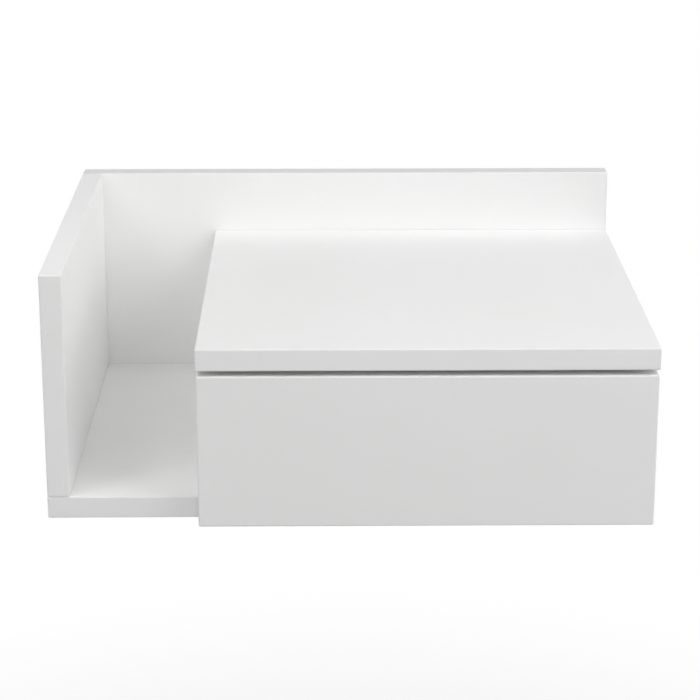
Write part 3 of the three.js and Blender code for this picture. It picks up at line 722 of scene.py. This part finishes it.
def plastic(name, light, dark):
    """Moulded plastic with the fine texture of a spark-eroded mould."""
    material, tree, surface, place = blank(name)
    flow = noise(tree, place, mould_flow, detail=3.0)
    texture = noise(tree, place, mould_texture, detail=3.0)
    tree.links.new(tinted(tree, flow, dark, light), surface.inputs["Base Color"])
    tree.links.new(ramp(tree, texture, noise_span, mould_roughness), surface.inputs["Roughness"])
    tree.links.new(relief(tree, texture, mould_texture_depth), surface.inputs["Normal"])
    return material


latch_grey = plastic("latch_grey", grey_light, grey_dark)
finished("latch_housing", "cabinet", "grey_plastic", latch_grey, bevel=latch_edge)
small_screw("latch_screw_left", to_wall, "cabinet")
small_screw("latch_screw_right", to_wall, "cabinet")

plunger_shaft = 4.3 * mm
plunger_collar = 3 * mm
plunger_nose = 1.5 * mm
plunger_edge = 0.3 * mm
plunger_columns = 48
plunger_grooves = 3
groove_spacing = 2 * mm
groove_half_width = 0.4 * mm
groove_depth = 0.25 * mm


def plunger(node):
    """A turned form: a collar that stays in the housing, and a shaft with shallow grooves and a rounded
    nose."""
    foot, length, collar = end_of(node, to_front)
    edge = plunger_edge
    nose_low = length - plunger_nose
    profile = [
        (0.0, 0.0),
        (collar - edge, 0.0),
        (collar, edge),
        (collar, plunger_collar - edge),
        (collar - edge, plunger_collar),
        (plunger_shaft, plunger_collar),
    ]
    for groove in range(plunger_grooves, 0, -1):
        middle = nose_low - groove * groove_spacing
        profile += [
            (plunger_shaft, middle - groove_half_width),
            (plunger_shaft - groove_depth, middle),
            (plunger_shaft, middle + groove_half_width),
        ]
    profile += arc((plunger_shaft - plunger_nose, nose_low), plunger_nose, 0, 90)
    profile.append((0.0, length))
    mesh = turned(node + "_moulded", *rings(profile, plunger_columns), foot, to_front)
    return show(mesh.name, mesh, "latch_plunger", "grey_plastic", latch_grey, node)


plunger("latch_plunger")

# Latch spring: drawn steel wire, coiled, with closed ends. It stretches between the housing and the
# plunger's collar as the drawer comes forward.
wire_radius = 0.45 * mm
coil_turns = 8
coil_steps = 24
wire_columns = 10
wire_light = (0.46, 0.47, 0.48)
wire_dark = (0.36, 0.37, 0.38)
wire_roughness = (0.25, 0.38)
wire_patch = 1.5 * mm
wire_pit_depth = 0.01 * mm
spring_wire = metal("spring_wire", wire_light, wire_dark, wire_roughness, wire_patch, wire_pit_depth)


def coil_spring(node):
    """A round wire carried along a helix. At the share t of the wire the angle is 2 pi turns t, and the
    height rises by one wire over the first and the last turn and evenly between them."""
    foot, length, outer = end_of(node, to_front)
    share = np.linspace(0, 1, coil_turns * coil_steps + 1)
    end_rise = 2 * wire_radius / (length - 2 * wire_radius)
    climb = np.interp(share, [0, 1 / coil_turns, 1 - 1 / coil_turns, 1], [0, end_rise, 1 - end_rise, 1])
    angle = full_turn * coil_turns * share
    axis = np.array(to_front, float)
    radial = np.stack([np.cos(angle), 0 * angle, np.sin(angle)], axis=-1)
    height = wire_radius + climb * (length - 2 * wire_radius)
    line = foot + radial * (outer - wire_radius) + np.outer(height, axis)
    along = np.gradient(line, axis=0)
    along /= np.linalg.norm(along, axis=1, keepdims=True)
    beside = np.cross(along, radial)
    turn = np.arange(wire_columns) * full_turn / wire_columns
    points = line[:, None] + wire_radius * (
        np.cos(turn)[None, :, None] * radial[:, None] + np.sin(turn)[None, :, None] * beside[:, None])
    closed = np.concatenate([line[:1, None].repeat(wire_columns, 1), points,
                             line[-1:, None].repeat(wire_columns, 1)])
    mesh = mesh_of(node + "_coiled", closed, quads(*closed.shape[:2]))
    mesh.materials.append(spring_wire)
    mesh.shade_smooth()
    mesh.set_sharp_from_angle(angle=sharp_turn)
    piece = bpy.data.objects.new(mesh.name, mesh)
    bpy.context.scene.collection.objects.link(piece)
    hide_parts(node)
    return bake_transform(piece)


coil_spring("latch_spring")

# Drawer front: a plain lacquered board with no handle. It overlaps the bottom board, the divider and the
# right side, and its hidden face has a groove for the drawer's bottom and two holes for the cam bolts.
case_board("drawer_front", "drawer")

# Drawer box: two sides and a back of chipboard wrapped in white foil, grooved for the bottom. Screws
# through the sides hold the back.
foil_light = (0.80, 0.80, 0.79)
foil_dark = (0.76, 0.76, 0.745)
foil_thin = (0.68, 0.67, 0.64)
foil_cloud = 60 * mm
foil_grain = 1.5 * mm
foil_grain_depth = 0.02 * mm
foil_grain_share = (0.0, 0.35)
foil_roughness = (0.44, 0.56)
foil_worn_width = 1.2 * mm
foil_rubbed_grain = (0.4, 0.7)
foil_rubbed_share = (0.1, 0.5)


def foil(node, stretch):
    """Melamine foil with a faint pressed grain along the board. Its folded edges are rubbed."""
    material, tree, surface, place = blank("foil_" + node)
    grain = noise(tree, place, foil_grain, detail=3.0, stretch=stretch)
    cloud = noise(tree, place, foil_cloud)
    near_edge = ramp(tree, edge_distance(tree, place, node), (0.0, foil_worn_width), (1.0, 0.0))
    rubbed = maths(tree, "MULTIPLY", near_edge, ramp(tree, grain, foil_rubbed_grain, foil_rubbed_share))
    body = tinted(tree, ramp(tree, cloud, noise_span), foil_dark, foil_light)
    body = tinted(tree, ramp(tree, grain, noise_span, foil_grain_share), body, foil_dark)
    tree.links.new(tinted(tree, rubbed, body, foil_thin), surface.inputs["Base Color"])
    tree.links.new(ramp(tree, grain, noise_span, foil_roughness), surface.inputs["Roughness"])
    tree.links.new(relief(tree, grain, foil_grain_depth), surface.inputs["Normal"])
    return material


along_side, along_back = (1.0, 20.0, 1.0), (20.0, 1.0, 1.0)
for side in ("left", "right"):
    finished(f"drawer_side_{side}", "drawer", "white_foil", foil(f"drawer_side_{side}", along_side))
finished("drawer_back", "drawer", "white_foil", foil("drawer_back", along_back))
for side in ("left", "right"):
    small_screw(f"drawer_back_screw_{side}_lower", inward[side], "drawer")
    small_screw(f"drawer_back_screw_{side}_upper", inward[side], "drawer")

# Drawer bottom: thin hardboard, painted white on both faces. It is slid into the grooves of the drawer's
# sides, back and front.
hardboard_light = (0.775, 0.77, 0.745)
hardboard_dark = (0.75, 0.743, 0.716)
hardboard_fleck = (0.64, 0.61, 0.55)
hardboard_cloud = 45 * mm
hardboard_fibre = 0.7 * mm
hardboard_fibre_span = (0.55, 0.75)
hardboard_fibre_share = (0.0, 0.4)
hardboard_fibre_depth = 0.03 * mm
hardboard_roughness = (0.5, 0.64)
hardboard_edge = 0.3 * mm


def hardboard(name):
    """Painted hardboard: smooth, with fibres that show through the paint as faint flecks."""
    material, tree, surface, place = blank(name)
    fibre = noise(tree, place, hardboard_fibre, detail=4.0)
    cloud = noise(tree, place, hardboard_cloud, detail=3.0)
    body = tinted(tree, ramp(tree, cloud, noise_span), hardboard_dark, hardboard_light)
    flecks = ramp(tree, fibre, hardboard_fibre_span, hardboard_fibre_share)
    body = tinted(tree, flecks, body, hardboard_fleck)
    tree.links.new(body, surface.inputs["Base Color"])
    tree.links.new(ramp(tree, fibre, noise_span, hardboard_roughness), surface.inputs["Roughness"])
    tree.links.new(relief(tree, fibre, hardboard_fibre_depth), surface.inputs["Normal"])
    return material


painted_hardboard = hardboard("painted_hardboard")
finished("drawer_bottom", "drawer", "white_hardboard", painted_hardboard, bevel=hardboard_edge)

# Drawer runners: folded sheet under and beside the drawer's sides, with the same enamel, screws and
# rollers as the cabinet's.
for side in ("left", "right"):
    runner(f"drawer_runner_{side}", "drawer")
    small_screw(f"drawer_runner_screw_{side}_front", up, "drawer")
    small_screw(f"drawer_runner_screw_{side}_rear", up, "drawer")
    roller(f"drawer_roller_{side}", outward[side], f"drawer_roller_{side}")
    roller_pin(f"drawer_roller_pin_{side}", outward[side], "drawer")

# Cam fittings: a die-cast cam in each drawer side grips the head of a steel bolt that is screwed into the
# drawer front. A quarter turn of the slot draws the front tight.
cam_edge = 0.035 * mm
cast_light = (0.56, 0.565, 0.57)
cast_dark = (0.46, 0.465, 0.47)
cast_roughness = (0.42, 0.6)
cast_patch = 1.2 * mm
cast_pit_depth = 0.03 * mm
cast_zinc = metal("cast_zinc", cast_light, cast_dark, cast_roughness, cast_patch, cast_pit_depth)
bolt_thread_length = 10 * mm
bolt_thread_radius = 2.8 * mm
bolt_thread_pitch = 1.6 * mm
bolt_root_share = 0.75
bolt_end_share = 0.6
bolt_end_taper = 0.8 * mm
bolt_thread_start = 0.9 * mm
bolt_thread_gap = 0.3 * mm
bolt_edge = 0.25 * mm
bolt_collar_low = 0.2 * mm
bolt_collar_high = 1.7 * mm
bolt_collar_radius = 3.2 * mm
bolt_neck_radius = 2 * mm
bolt_head_radius = 3 * mm
bolt_head_length = 2.5 * mm


def cam_bolt(node):
    """A turned bolt with a coarse thread for board, a collar, a thin neck and a head that the cam pulls.
    Heights run towards the wall."""
    foot, length, _ = end_of(node, to_wall)
    edge = bolt_edge
    root = bolt_root_share * bolt_thread_radius
    tip = rings([(0.0, 0.0), (bolt_end_share * root, 0.0), (root, bolt_end_taper)], screw_columns)
    low, high = bolt_thread_start, bolt_thread_length - bolt_thread_gap
    winding = thread(bolt_thread_radius, root, low, high, bolt_thread_pitch, screw_columns)
    collar_low = bolt_thread_length + bolt_collar_low
    collar_high = bolt_thread_length + bolt_collar_high
    neck_end = length - bolt_head_length
    rest = rings([
        (root, collar_low),
        (bolt_collar_radius - edge, collar_low),
        (bolt_collar_radius, collar_low + edge),
        (bolt_collar_radius, collar_high - edge),
        (bolt_collar_radius - edge, collar_high),
        (bolt_neck_radius, collar_high),
        (bolt_neck_radius, neck_end),
        (bolt_head_radius - edge, neck_end),
        *arc((bolt_head_radius - 2 * edge, neck_end + 2 * edge), 2 * edge, -90, 0),
        *arc((bolt_head_radius - 3 * edge, length - 3 * edge), 3 * edge, 0, 90),
        (0.0, length),
    ], screw_columns)
    mesh = turned(node + "_threaded", *stacked(tip, winding, rest), foot, to_wall)
    return show(mesh.name, mesh, "drawer", "zinc_steel", zinc_plate, node)


for side in ("left", "right"):
    finished(f"drawer_cam_{side}", "drawer", "cast_zinc", cast_zinc, bevel=cam_edge)
    cam_bolt(f"drawer_cam_bolt_{side}")

# Floor: a plain pale sheet well below the nightstand, which hangs on a wall. Seen directly or mirrored it
# is white, round its middle it keeps the nightstand's soft shadow, and from below it is clear.
floor_height = -0.55
floor_half = 6.0
floor_paper = (0.4, 0.4, 0.4)
floor_glow = 0.55
shadow_radius = 0.45
white = (1.0, 1.0, 1.0)


def seen_ray(tree):
    """One for rays that come from the camera or that gloss and glass send on, and zero for others."""
    ray = tree.nodes.new("ShaderNodeLightPath").outputs
    direct = maths(tree, "MAXIMUM", ray["Is Camera Ray"], ray["Is Glossy Ray"])
    return maths(tree, "MAXIMUM", direct, ray["Is Transmission Ray"])


def floor_material():
    """Paper for the light that falls on it. Where it is seen, a glow makes it nearly white near its middle,
    and it is plain white farther out."""
    material, tree, surface, place = blank("white_floor")
    tree.nodes.remove(surface)
    paper = shade(tree, "BsdfDiffuse", {"Color": rgba(floor_paper)})
    clear = shade(tree, "BsdfTransparent", {})
    below = tree.nodes.new("ShaderNodeNewGeometry").outputs["Backfacing"]
    plain = shade(tree, "Emission", {"Color": rgba(white), "Strength": 1.0})
    glow = shade(tree, "Emission", {"Color": rgba(white), "Strength": floor_glow})
    lit = shade(tree, "AddShader", {0: paper.outputs[0], 1: glow.outputs[0]})
    distance = shade(tree, "VectorMath", {0: place}, operation="LENGTH").outputs["Value"]
    far = ramp(tree, distance, (shadow_radius, 2 * shadow_radius))
    seen = shade(tree, "MixShader", {0: far, 1: lit.outputs[0], 2: plain.outputs[0]})
    both = shade(tree, "MixShader", {0: seen_ray(tree), 1: paper.outputs[0], 2: seen.outputs[0]})
    one_sided = shade(tree, "MixShader", {0: below, 1: both.outputs[0], 2: clear.outputs[0]})
    tree.links.new(one_sided.outputs[0], tree.nodes["Material Output"].inputs["Surface"])
    return material


floor_corners = np.array([(-1, -1), (1, -1), (1, 1), (-1, 1)]) * floor_half
floor_mesh = bpy.data.meshes.new("floor")
floor_mesh.from_pydata([(x, y, floor_height) for x, y in floor_corners], [], [(0, 1, 2, 3)])
floor_mesh.materials.append(floor_material())
floor = bpy.data.objects.new("floor", floor_mesh)
bpy.context.scene.collection.objects.link(floor)

# Studio light: large soft boxes above and in front, in a room that lights faintly and is white where it is
# seen or mirrored. The fills at the sides, behind and below only light, and aren't mirrored.
room_light = 0.2
world = bpy.data.worlds.new("white_room")
world.use_nodes = True
bpy.context.scene.world = world
room = world.node_tree
room.nodes.clear()
faint = shade(room, "Background", {"Color": rgba(white), "Strength": room_light})
plain = shade(room, "Background", {"Color": rgba(white), "Strength": 1.0})
either = shade(room, "MixShader", {0: seen_ray(room), 1: faint.outputs[0], 2: plain.outputs[0]})
shade(room, "OutputWorld", {"Surface": either.outputs[0]})

lamp_target = Vector((0.0, -0.16, 0.0))
key_boxes = {
    "overhead_box": ((0.0, -0.4, 1.6), 2.0, 6.0),
    "overhead_right_box": ((1.3, -0.3, 1.5), 1.2, 3.5),
    "front_high_box": ((0.0, -2.2, 1.3), 1.6, 2.1),
    "front_low_box": ((0.0, -2.4, 0.1), 1.4, 7.8),
    "near_left_box": ((-0.5, -0.8, 1.0), 0.6, 1.7),
    "upper_left_box": ((-1.2, -1.1, 1.4), 0.9, 6.7),
    "upper_right_box": ((1.2, -1.1, 1.4), 0.9, 8.6),
}
fill_boxes = {
    "front_right_fill": ((1.7, -1.7, 0.8), 1.2, 6.2),
    "right_fill": ((2.1, -0.4, 0.6), 1.2, 11.6),
    "rear_fill": ((0.0, 2.2, -0.25), 1.0, 28.0),
    "left_fill": ((-2.2, 0.2, 0.1), 1.0, 14.0),
    "under_fill": ((0.0, -0.16, -0.5), 0.5, 0.6),
}
for name, (place, size, power) in {**key_boxes, **fill_boxes}.items():
    light = bpy.data.lights.new(name, "AREA")
    light.shape = "SQUARE"
    light.size = size
    light.energy = power
    lamp = bpy.data.objects.new(name, light)
    lamp.location = place
    lamp.rotation_euler = (lamp_target - Vector(place)).to_track_quat("-Z", "Y").to_euler()
    lamp.visible_camera = False
    lamp.visible_glossy = name in key_boxes
    bpy.context.scene.collection.objects.link(lamp)

# Camera: as the photograph is taken, from the front and above, a little left of the middle. It is pitched
# down and has no shift, and its focal length is given in pixels of the photograph.
camera_place = (-0.01612, -1.70903, 0.47606)
camera_turn = 0.0115
camera_dip = 0.3055
photo_side = 700
focal_pixels = 2275.25
sensor = 36.0
view = bpy.data.cameras.new("camera")
view.sensor_width = sensor
view.lens = sensor * focal_pixels / photo_side
camera = bpy.data.objects.new("camera", view)
camera.location = camera_place
camera.rotation_euler = (math.pi / 2 - camera_dip, 0.0, -camera_turn)
bpy.context.scene.collection.objects.link(camera)
bpy.context.scene.camera = camera
bpy.context.scene.view_settings.view_transform = "Standard"
